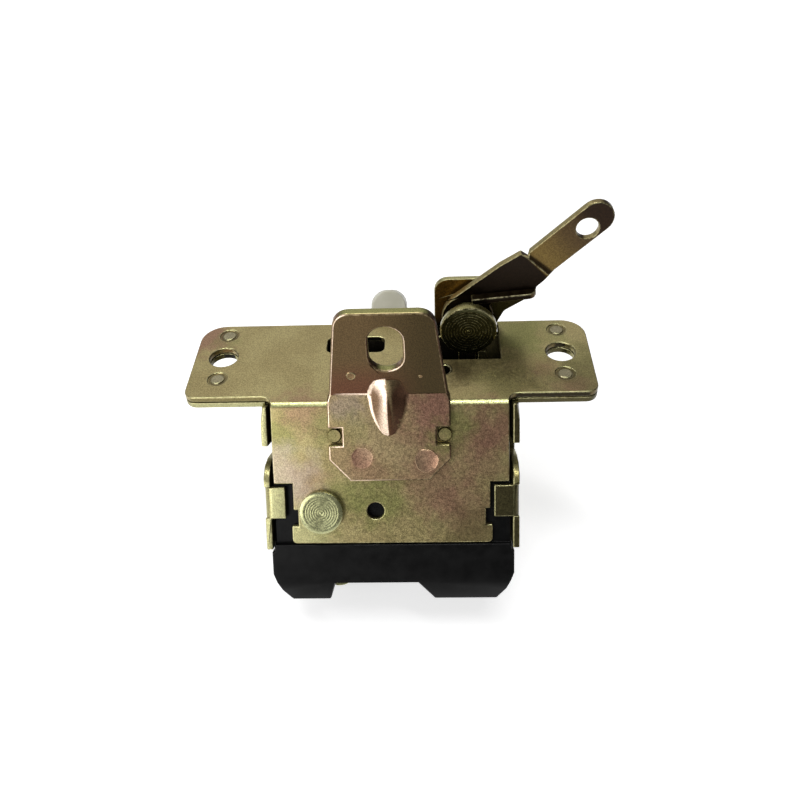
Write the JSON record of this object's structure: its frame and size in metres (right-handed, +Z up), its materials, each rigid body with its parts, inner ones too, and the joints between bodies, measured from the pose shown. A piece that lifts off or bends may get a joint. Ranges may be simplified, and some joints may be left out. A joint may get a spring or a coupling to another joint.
{
  "type": "boot lock",
  "caption": "Car boot latch with a two-layer mounting flange, sloping front plate, slotted guide bracket, hinged release lever, rotary fork, pawl and plastic striker housing.",
  "frame": {"origin": "midway between the two mounting holes, in the plane of the flange's underside", "axes": "+X along the flange towards the lever's side, +Y to the rear (away from the sloping front plate), +Z up from the flange towards the lever"},
  "size_m": [0.1348, 0.0832, 0.1199],
  "materials": {
    "yellow_zinc": "yellow passivated zinc on pressed steel",
    "bronze_zinc": "darker yellow passivated zinc",
    "plain_steel": "bare steel, oiled",
    "spring_wire": "drawn spring wire",
    "black_plastic": "moulded plastic",
    "white_nylon": "moulded nylon",
    "black_rubber": "moulded rubber"
  },
  "bodies": {
    "casing": {"front_plate": "yellow_zinc", "rear_casing": "yellow_zinc", "striker_housing": "black_plastic", "striker_buffer": "black_rubber", "guide_bracket": "bronze_zinc", "fork_pivot_rivet": "yellow_zinc", "fork_front_spacer": "plain_steel", "fork_rear_spacer": "plain_steel", "fork_spring": "spring_wire", "pawl_spring": "spring_wire", "lever_pivot_pin": "bronze_zinc", "lever_collar": "bronze_zinc", "lever_washer": "plain_steel"},
    "fork": {"fork": "yellow_zinc"},
    "pawl": {"pawl": "plain_steel", "pawl_shaft": "yellow_zinc", "pawl_front_spacer": "plain_steel", "pawl_rear_spacer": "plain_steel", "release_crank": "yellow_zinc", "release_arm": "bronze_zinc", "arm_washer": "plain_steel", "nylon_cap": "white_nylon", "shaft_clip": "plain_steel"},
    "lever": {"release_lever": "bronze_zinc"}
  },
  "joints": [
    {"name": "fork_turn", "type": "hinge", "parent": "casing", "child": "fork", "pos_m": [-0.022, -0.04183, -0.02471], "axis": [0, -0.8458, 0.5335], "range_deg": [0, 60], "stiffness_Nm_per_rad": 0.05, "springref_deg": -17.19},
    {"name": "lever_turn", "type": "hinge", "parent": "casing", "child": "lever", "pos_m": [0.0255, 0.0128, 0.0104], "axis": [0, -1, 0], "range_deg": [0, 20], "stiffness_Nm_per_rad": 0.15, "springref_deg": -17.19},
    {"name": "pawl_turn", "type": "hinge", "parent": "casing", "child": "pawl", "pos_m": [0.0112, -0.03313, -0.01093], "axis": [0, 0.8458, -0.5335], "range_deg": [0, 10], "stiffness_Nm_per_rad": 0.08, "springref_deg": -17.19}
  ],
  "couplings": [
    {"joint": "pawl_turn", "follows": "lever_turn", "ratio": 0.5}
  ]
}
